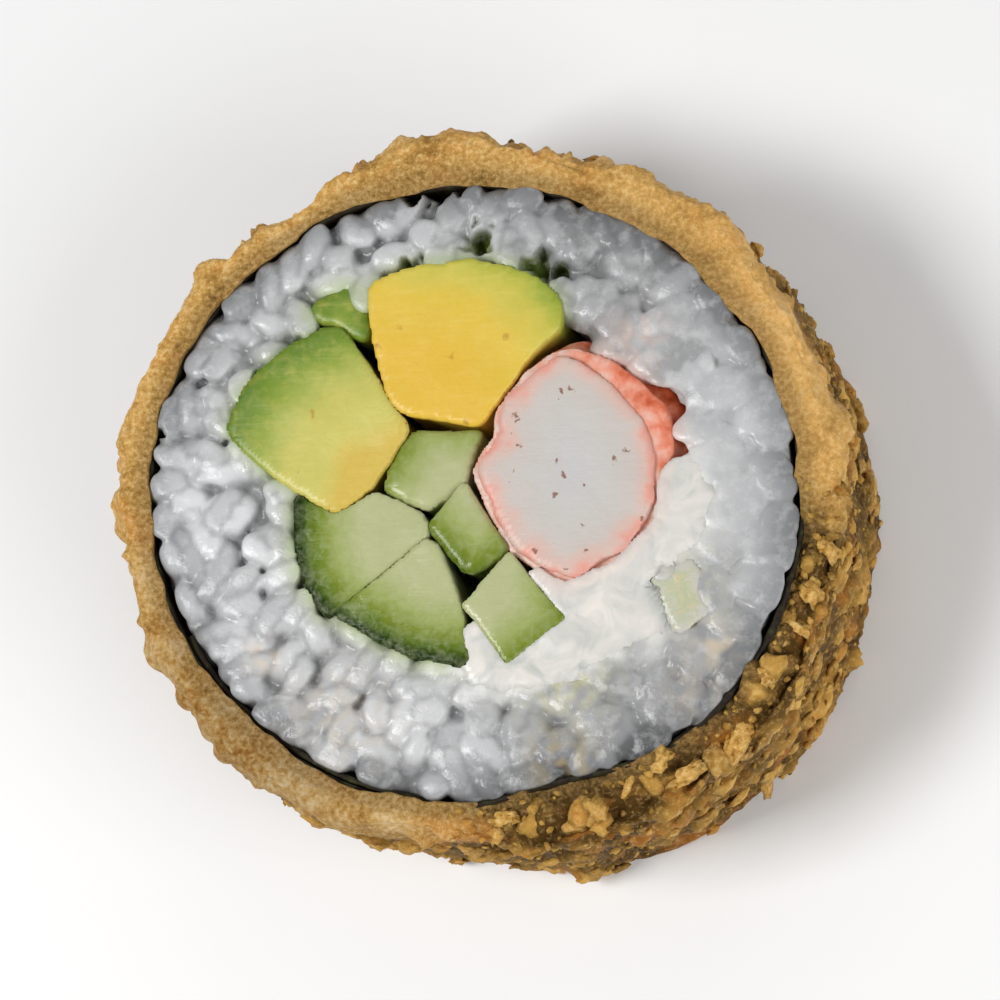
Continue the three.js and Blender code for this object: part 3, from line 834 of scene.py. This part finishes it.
# The sheet of grains at a cut face; the one below is the same kind of sheet turned over
def makeGrainSheet(name, seed, voxel, below):
    draw = random.Random(seed)
    shapes = grainShapes(10, 16, 10)
    grains = packGrains(draw, rice["count"], rice["rounds"])
    under = packGrains(draw, rice["under"]["count"], rice["under"]["rounds"])
    slab = nodeCopy("rice")
    cutLevel(slab, *rice["slab"])
    slabMesh = meshOf(slab, "slab")
    bm = bmesh.new()
    bm.from_mesh(slabMesh)
    for layer, depth, loose in ((grains, rice["depth"], 0.3), (under, rice["under"]["depth"], 0.6)):
        for grain in layer:
            height = roll["height"] - depth - draw.uniform(-0.4, 1.0) * loose
            turn = Matrix.Rotation(grain["yaw"], 4, "Z") @ Matrix.Rotation(-grain["pitch"], 4, "Y")
            turn = turn @ Matrix.Rotation(draw.uniform(0.0, math.tau), 4, "X")
            stretch = Matrix.Diagonal((*(rice["grain"] * grain["size"]), 1.0))
            place = Matrix.Translation((grain["centre"].x, grain["centre"].y, height))
            settleGrain(addCopy(bm, draw.choice(shapes), place @ turn @ stretch))
    for mesh in shapes + [slabMesh]:
        bpy.data.meshes.remove(mesh)
    bm = voxelForm(bm, voxel)
    relax(bm)
    tree = KDTree(3 * len(grains))
    for i, grain in enumerate(grains):
        for point in spineOf(grain):
            tree.insert(point, i)
    tree.balance()
    tint = bm.verts.layers.float_color.new("tint")
    for vertex in bm.verts:
        near = tree.find_n(Vector((vertex.co.x, vertex.co.y, 0.0)), 5)
        weights = [(gap + 0.15) ** -9 for _, _, gap in near]
        tone = sum(grains[i]["tone"] * weight for (_, i, _), weight in zip(near, weights)) / sum(weights)
        apart = min([gap for _, i, gap in near if i != near[0][1]], default=9.0)
        # Painted shade: thin darker lines in the creases between grains
        creaseShade = smooth(0.8, 0.0, apart - near[0][2]) * (1.0 - smearShare(vertex.co))
        depth = rice["knife"] - vertex.co.z
        pressed = 0.7 if below else max(smearShare(vertex.co), nearness(creamTrees, vertex.co, 2.0))
        if 0.0 < depth < 3.5:
            vertex.co.z += depth * pressed * (1.0 - rice["pressed"])
        shown = riceTintAndShade(vertex.co, tone, rice["knife"] - vertex.co.z) * (1.02 - 0.12 * creaseShade)
        vertex[tint] = colour(*shown)
        vertex.co.z -= 2.0 * hollowShare(vertex.co) * smooth(17.5, 19.0, vertex.co.z)
        vertex.co += vertex.normal * (0.035 * grainNoise(vertex.co, 0.8, 9))
        if below:
            vertex.co.z = max(0.0, roll["height"] - vertex.co.z)
    if below:
        bmesh.ops.reverse_faces(bm, faces=bm.faces)
    return finishPiece(bm, name, "rice", riceFinish, "rice")


def riceMaterial():
    soft = (0.25, (1.0, 0.95, 0.9), 0.7)
    material, tree, surface, place = startMaterial("stickyRice", 0.3, 0.5, soft, {"IOR": 1.4})
    tint = attributeOf(tree, "tint", "Color")
    cloud = noiseOf(tree, place, 1.3, 4.0, 0.6)
    streaks = noiseOf(tree, place, 0.55, 3.0, 0.6, 0.8)
    base = mixOf(tree, rangeOf(tree, cloud, 0.5, 0.72, (0.0, 0.3)), tint, (226, 226, 226))
    plug(tree, surface, {
        "Base Color": base,
        "Roughness": rangeOf(tree, cloud, 0.3, 0.7, (0.14, 0.36)),
        "Normal": bumpOf(tree, streaks, 0.08, 0.6),
    })
    return material


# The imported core: the frame's own ring, between the two sheets
def makeRiceCore():
    bm = nodeCopy("rice")
    cutLevel(bm, *rice["core"])
    layer = bm.verts.layers.float_color.new("tint")
    for vertex in bm.verts:
        vertex[layer] = colour(*(rice["light"] * 0.8))
    return bm


riceFinish = riceMaterial()
finishPiece(makeRiceCore(), "riceCore", "rice", riceFinish, "rice")
for name, (seed, voxel, below) in rice["sheets"].items():
    makeGrainSheet(name, seed, voxel, below)


# Fillings: the frame's own sticks, finely meshed, worn at the edges and given the marks of their flesh
def distanceTo(point, line):
    best = 1e9
    for start, end in zip(line, line[1:]):
        a, b = Vector(start), Vector(end)
        share = clamp((point.xy - a).dot(b - a) / (b - a).length_squared)
        best = min(best, (point.xy - a.lerp(b, share)).length)
    return best


# How far a point of the cut face lies inside the rice's edge; negative beside it
def overRice(point):
    apart = riceTree.find_nearest(Vector((point.x, point.y, middle)))[3]
    return apart if liesOnRice(point) else -apart


# From a point on a rounded corner to where the flat sides next to it would meet
def cornerPull(tree, point, normal):
    along = Vector((-normal.y, normal.x, 0.0)).normalized() * 1.3
    flat = Vector((point.x, point.y, middle))
    one, oneWay, _, _ = tree.find_nearest(flat + along)
    two, twoWay, _, _ = tree.find_nearest(flat - along)
    across = oneWay.x * twoWay.y - oneWay.y * twoWay.x
    if abs(across) < 0.3:
        return Vector()
    a, b = one.xy.dot(oneWay.xy), two.xy.dot(twoWay.xy)
    x = (a * twoWay.y - b * oneWay.y) / across
    y = (b * oneWay.x - a * twoWay.x) / across
    pull = Vector((x, y, middle)) - flat
    if pull.dot(normal) < 0.0 or pull.length > 1.3:
        return Vector()
    return pull


def sharpenCorners(bm, tree, crisp):
    pulls = [cornerPull(tree, v.co, v.normal) if abs(v.normal.z) < 0.85 else Vector() for v in bm.verts]
    bm.verts.index_update()
    for _ in range(2):  # spread over the neighbours
        sums = [sum((pulls[e.other_vert(v).index] for e in v.link_edges), pulls[v.index]) for v in bm.verts]
        pulls = [total / (len(v.link_edges) + 1) for v, total in zip(bm.verts, sums)]
    for vertex, pull in zip(bm.verts, pulls):
        vertex.co += crisp * pull
    bm.normal_update()


# Waves are the height and size of its unevenness, and its colour goes by the depth under the skin line. Its
# edge spreads as a rough lip, and it is lifted by a height, sunk into the rice, or crisp at its corners
def fleshForm(
        nodeName, voxel, waves, skinLine, swell=0.22, lip=0.25, rough=0.4, lift=0.0, sunk=0.0, crisp=0.0):
    top = roll["height"]
    bm = voxelForm(nodeCopy(nodeName), voxel, 0.36)
    relax(bm)
    if crisp > 0.0:
        sharpenCorners(bm, nodeTree(nodeName), crisp)
    fromSkin = bm.verts.layers.float.new("fromSkin")
    for vertex in bm.verts:
        level = Vector((vertex.normal.x, vertex.normal.y, 0.0))
        push = sum(amount * grainNoise(vertex.co, size, i) for i, (amount, size) in enumerate(waves))
        flare = lip * smooth(top - 2.5, top - 0.4, vertex.co.z)
        flare *= clamp(1.0 - 0.4 * rough + rough * grainNoise(vertex.co, 1.5, 12))
        if sunk > 0.0 and flare > 0.0:
            flare *= mixed(0.15, 1.0, smooth(-0.5, 0.5, overRice(vertex.co + 0.8 * level)))
        vertex[fromSkin] = distanceTo(vertex.co, skinLine)
        vertex.co += vertex.normal * (push + swell) + level * flare
        if vertex.co.z > middle:  # both ends are cut by the knife
            knife = top + 0.05 + lift + 0.12 * grainNoise(vertex.co, 3.5, 14) + 0.3 * push
            vertex.co.z = min(vertex.co.z + 0.35, knife)
            if sunk > 0.0 and vertex.co.z > top - 1.5:  # its edge thins out over the rice
                vertex.co.z -= sunk * smooth(-0.2, 1.6, overRice(vertex.co))
        else:
            vertex.co.z = max(vertex.co.z - 0.3, 0.0)
    return bm


# Coordinates bent by noise, which makes spots irregular
def bentPlace(tree, place, size, amount):
    inputs = {"Vector": place, "Scale": perMm / size, "Detail": 2.0}
    wander = addNode(tree, "TexNoise", inputs).outputs["Color"]
    inputs = {0: wander, 1: (amount * mm, amount * mm, amount * mm), 2: place}
    return addNode(tree, "VectorMath", inputs, operation="MULTIPLY_ADD").outputs["Vector"]


# Fine lines that the knife drew over the cut face
def knifeLines(tree, place, size):
    turned = {"Vector": place, "Rotation": (0.0, 0.0, math.radians(-35.0)), "Scale": (0.12, 1.0, 1.0)}
    return noiseOf(tree, addNode(tree, "Mapping", turned).outputs["Vector"], size, 3.0, 0.6)


# Depth under the skin in millimetres, made to waver by some of them
def skinDepth(tree, wobble, amount):
    return blendOf(tree, (wobble, amount), (attributeOf(tree, "fromSkin"), 1.0), start=-0.5 * amount)


def avocadoMaterial(name, stops):
    material, tree, surface, place = startMaterial(name, 0.36, 0.4, (0.25, (1.0, 0.8, 0.3), 1.2))
    depth = skinDepth(tree, noiseOf(tree, place, 2.6, 3.0, 0.5), 2.4)
    base = rampOf(tree, rangeOf(tree, depth, 0.0, 11.0), stops)
    mottle = noiseOf(tree, place, 0.8, 4.0, 0.6)
    base = mixOf(tree, rangeOf(tree, mottle, 0.45, 0.75, (0.0, 0.22)), base, (232, 208, 112))
    spots = rangeOf(tree, cellsOf(tree, bentPlace(tree, place, 0.7, 1.2), 3.2), 0.12, 0.06)
    base = mixOf(tree, mathOf(tree, "MULTIPLY", spots, 0.55), base, (176, 118, 40))
    lines = knifeLines(tree, place, 0.5)
    base = mixOf(tree, rangeOf(tree, lines, 0.55, 0.75, (0.0, 0.14)), base, (240, 222, 140))
    relief = blendOf(tree, (lines, 0.6), start=mottle)
    plug(tree, surface, {"Base Color": base, "Normal": bumpOf(tree, relief, 0.06, 0.5)})
    return material


def cucumberMaterial():
    soft = (0.35, (0.8, 1.0, 0.5), 1.0)
    material, tree, surface, place = startMaterial("cucumberFlesh", 0.22, 0.5, soft, {"IOR": 1.38})
    depth = skinDepth(tree, noiseOf(tree, place, 1.2, 3.0, 0.5), 0.8)
    base = rampOf(tree, rangeOf(tree, depth, 0.0, 8.0), [
        (0.0, (18, 32, 4)), (0.07, (38, 60, 6)), (0.14, (80, 104, 12)),
        (0.27, (118, 136, 36)), (0.42, (156, 168, 94)), (0.7, (184, 188, 140)),
    ])
    fibre = noiseOf(tree, place, 0.7, 4.0, 0.6, 0.6)
    base = mixOf(tree, rangeOf(tree, fibre, 0.4, 0.75, (0.0, 0.3)), base, (196, 202, 160))
    relief = mathOf(tree, "ADD", fibre, knifeLines(tree, place, 0.45))
    plug(tree, surface, {
        "Base Color": base,
        "Specular IOR Level": rangeOf(tree, depth, 0.4, 2.0, (0.12, 0.5)),
        "Normal": bumpOf(tree, relief, 0.06, 0.5),
    })
    return material


# Cucumber under a smear of rice and cream cheese: it shows in patches, away from its edge
def smearedMaterial():
    soft = (0.3, (1.0, 0.95, 0.8), 1.0)
    material, tree, surface, place = startMaterial("smearedCucumber", 0.3, 0.45, soft)
    patches = noiseOf(tree, place, 1.5, 3.0, 0.6, 0.6)
    base = rampOf(tree, patches, [
        (0.36, (188, 190, 184)), (0.44, (204, 198, 176)), (0.52, (186, 194, 156)),
        (0.58, (196, 194, 164)), (0.66, (212, 196, 152)), (0.74, (204, 202, 192)),
    ])
    edge = rangeOf(tree, skinDepth(tree, patches, 3.0), -0.2, 1.4, (0.7, 0.0))
    base = mixOf(tree, edge, base, (202, 201, 194))
    plug(tree, surface, {"Base Color": base, "Normal": bumpOf(tree, patches, 0.15, 0.6)})
    return material


ripeFinish = avocadoMaterial("ripeAvocado", [
    (0.0, (110, 138, 42)), (0.12, (158, 172, 60)), (0.24, (198, 190, 76)),
    (0.36, (212, 196, 84)), (0.5, (224, 194, 72)), (0.95, (228, 188, 66)),
])
paleFinish = avocadoMaterial("paleAvocado", [
    (0.0, (92, 124, 32)), (0.14, (120, 146, 46)), (0.26, (148, 165, 66)),
    (0.38, (174, 181, 88)), (0.52, (197, 192, 98)), (0.8, (206, 198, 104)),
    (1.0, (212, 184, 82)),
])
cucumberFinish = cucumberMaterial()
smearedFinish = smearedMaterial()

# Each filling's node, which starts with its slot's name, its finish, skin line and cut
fillings = {
    "avocadoTop": {
        "node": "avocado_top", "finish": ripeFinish,
        "skin": ((9.4, 13.0), (8.6, 16.0), (5.4, 19.0), (0.4, 21.6), (-6.0, 22.5)),
        "cut": {"lip": 0.3, "lift": 0.12, "crisp": 0.5},
    },
    "avocadoLeft": {
        "node": "avocado_left", "finish": paleFinish,
        "skin": ((-9.6, 15.0), (-14.6, 13.0), (-17.5, 10.8), (-19.4, 8.4), (-20.2, 5.6)),
        "cut": {"lip": 0.45, "lift": 0.06, "crisp": 0.6},
    },
    "avocadoEnd": {
        "node": "avocado_end", "finish": paleFinish,
        "skin": ((-13.4, 16.4), (-10.6, 17.6), (-8.9, 17.2), (-8.5, 14.4)),
        "cut": {"lip": 0.2, "lift": -0.3},
    },
    "cucumberWedgeLeft": {
        "node": "cucumber_wedge_left", "finish": cucumberFinish,
        "skin": ((-14.4, 0.4), (-14.6, -3.8), (-13.7, -7.3), (-11.6, -10.1)),
        "cut": {"lip": 0.1, "lift": 0.0, "crisp": 0.8},
    },
    "cucumberWedgeLower": {
        "node": "cucumber_wedge_lower", "finish": cucumberFinish,
        "skin": ((-11.2, -9.9), (-8.1, -11.8), (-4.7, -13.6), (-0.4, -14.4)),
        "cut": {"lip": 0.1, "lift": 0.15, "crisp": 0.8},
    },
    "cucumberStickInner": {
        "node": "cucumber_stick_inner", "finish": cucumberFinish,
        "skin": ((-4.0, -4.4), (0.4, -8.4), (4.2, -6.4)),
        "cut": {"lip": 0.25, "lift": -0.1, "crisp": 0.9},
    },
    "cucumberStickLower": {
        "node": "cucumber_stick_lower", "finish": cucumberFinish,
        "skin": ((3.4, -16.2), (10.2, -11.8), (9.2, -8.6)),
        "cut": {"lip": 0.1, "lift": 0.2, "crisp": 0.9},
    },
    "cucumberStickRight": {
        "node": "cucumber_stick_right", "finish": smearedFinish,
        "skin": ((15.2, -8.0), (18.4, -6.3), (20.6, -9.8), (17.6, -12.2), (15.2, -8.0)),
        "cut": {"lip": 0.4, "rough": 0.9, "lift": -0.06, "sunk": 0.4},
    },
    "cucumberHeart": {
        "node": "cucumber_heart", "finish": cucumberFinish,
        "skin": ((-9.4, 1.0), (-5.0, 8.4), (3.4, 7.2)),
        "cut": {"lip": 0.3, "lift": -0.04, "crisp": 0.8},
    },
}
fleshWaves = ((0.12, 3.2), (0.05, 1.1), (0.025, 0.5))
for pieceName, filling in fillings.items():
    form = fleshForm(filling["node"], 0.26, fleshWaves, filling["skin"], **filling["cut"])
    slotName = filling["node"].split("_")[0]
    finishPiece(form, pieceName, slotName, filling["finish"], filling["node"])


# Crab stick: pale flesh with a torn red skin
def crabMaterial():
    material, tree, surface, place = startMaterial("crabFlesh", 0.4, 0.4, (0.3, (1.0, 0.7, 0.6), 1.2))
    depth = skinDepth(tree, noiseOf(tree, place, 2.0, 3.0, 0.5), 1.6)
    base = rampOf(tree, rangeOf(tree, depth, 0.0, 7.0), [
        (0.0, (230, 162, 146)), (0.06, (218, 186, 174)), (0.17, (204, 195, 188)),
        (0.5, (202, 198, 193)), (0.9, (200, 198, 198)),
    ])
    flecks = rangeOf(tree, cellsOf(tree, bentPlace(tree, place, 0.5, 1.1), 1.9), 0.14, 0.08)
    base = mixOf(tree, mathOf(tree, "MULTIPLY", flecks, 0.8), base, (126, 72, 36))
    relief = mathOf(tree, "ADD", noiseOf(tree, place, 0.6, 4.0, 0.55, 0.4), knifeLines(tree, place, 0.5))
    plug(tree, surface, {"Base Color": base, "Normal": bumpOf(tree, relief, 0.06, 0.5)})
    return material


def skinMaterial():
    material, tree, surface, place = startMaterial("crabSkin", 0.36, 0.45, (0.3, (1.0, 0.4, 0.3), 1.0))
    outward = rangeOf(tree, attributeOf(tree, "fromSkin"), 0.0, 2.2, (0.22, -0.08))
    # The skin's patches, paler where it is hidden and with painted shade on its ledge
    patches = mathOf(tree, "ADD", noiseOf(tree, place, 1.3, 4.0, 0.55), attributeOf(tree, "fadedAndShaded"))
    base = rampOf(tree, mathOf(tree, "ADD", patches, outward), [
        (0.12, (150, 46, 10)), (0.36, (208, 100, 62)), (0.5, (227, 134, 104)),
        (0.66, (236, 167, 145)), (0.88, (232, 200, 186)),
    ])
    relief = noiseOf(tree, place, 0.5, 4.0)
    plug(tree, surface, {"Base Color": base, "Normal": bumpOf(tree, relief, 0.08, 0.6)})
    return material


crabOutline = (
    (8.4, 10.5), (11.2, 8.9), (14.6, 5.2), (15.3, 1.4), (14.7, -2.5), (11.8, -5.4), (8.2, -7.0),
    (4.7, -4.4), (3.0, -1.4), (1.5, 1.8), (3.4, 3.9), (3.5, 6.4), (6.2, 9.4), (8.4, 10.5),
)
crab = {
    "centre": Vector((8.8, 1.8, 0.0)),
    "skinShows": (42.0, 58.0),  # angle and width, seen from the centre
    "ledge": 2.2,  # how far the skin reaches out in the gap beside the rice
    "flesh": {"voxel": 0.26, "waves": ((0.1, 3.0), (0.05, 1.0), (0.03, 0.45)), "swell": 0.15, "lift": 0.2},
    "skin": {"voxel": 0.2, "waves": ((0.22, 1.8), (0.1, 0.8)), "swell": 0.15, "lip": 0.3},
}


# The skin shows at the stick's upper right; round the rest the flesh bulges over it
def skinShows(point):
    return bump(angleOf(point - crab["centre"]), *crab["skinShows"])


core = fleshForm("crab_stick_core", skinLine=crabOutline, **crab["flesh"])
for vertex in core.verts:
    level = Vector((vertex.normal.x, vertex.normal.y, 0.0))
    bulge = 0.5 + 0.5 * grainNoise(vertex.co, 1.8, 31)
    vertex.co += level * (bulge * (1.0 - skinShows(vertex.co)) * smooth(19.0, 21.5, vertex.co.z))
finishPiece(core, "crabStick", "crab_stick", crabMaterial(), "crab_stick_core")
skin = fleshForm("crab_stick_skin", skinLine=crabOutline, **crab["skin"])
fadedAndShaded = skin.verts.layers.float.new("fadedAndShaded")
for vertex in skin.verts:
    level = Vector((vertex.normal.x, vertex.normal.y, 0.0))
    hidden = 1.0 - skinShows(vertex.co)
    ledge = (1.0 - hidden) * smooth(21.3, 20.3, vertex.co.z) * smooth(15.0, 18.0, vertex.co.z)
    # Paler where the skin is hidden; the ledge in the gap beside the rice is painted darker as shade
    vertex[fadedAndShaded] = 0.26 * hidden - 0.04 - 0.4 * ledge
    vertex.co += level * (crab["ledge"] * ledge)
    vertex.co.z -= hidden * (0.45 + 0.5 * grainNoise(vertex.co, 2.2, 32)) * smooth(18.0, 21.5, vertex.co.z)
finishPiece(skin, "crabStickSkin", "crab_stick_skin", skinMaterial(), "crab_stick_skin")


# Cream cheese, smeared out over the rice round it
cream = {
    "voxel": 0.26, "waves": ((0.2, 2.6), (0.1, 1.0)), "swell": 0.25, "lip": 2.0, "rough": 1.0, "lift": 0.1,
    "sunk": 0.45,
}


def creamMaterial():
    soft = (0.3, (1.0, 0.95, 0.85), 1.2)
    material, tree, surface, place = startMaterial("creamCheese", 0.32, 0.45, soft)
    swirl = noiseOf(tree, place, 2.4, 4.0, 0.5, 1.2)
    base = rampOf(tree, swirl, [
        (0.3, (198, 200, 194)), (0.5, (218, 216, 210)), (0.7, (234, 228, 220)),
    ])
    nearCrab = rangeOf(tree, attributeOf(tree, "fromSkin"), 0.3, 2.4, (0.7, 0.0))
    base = mixOf(tree, nearCrab, base, (238, 208, 196))
    plug(tree, surface, {"Base Color": base, "Normal": bumpOf(tree, swirl, 0.15, 0.5)})
    return material


spread = fleshForm("cream_cheese", skinLine=crabOutline, **cream)
finishPiece(spread, "creamCheese", "cream_cheese", creamMaterial(), "cream_cheese")
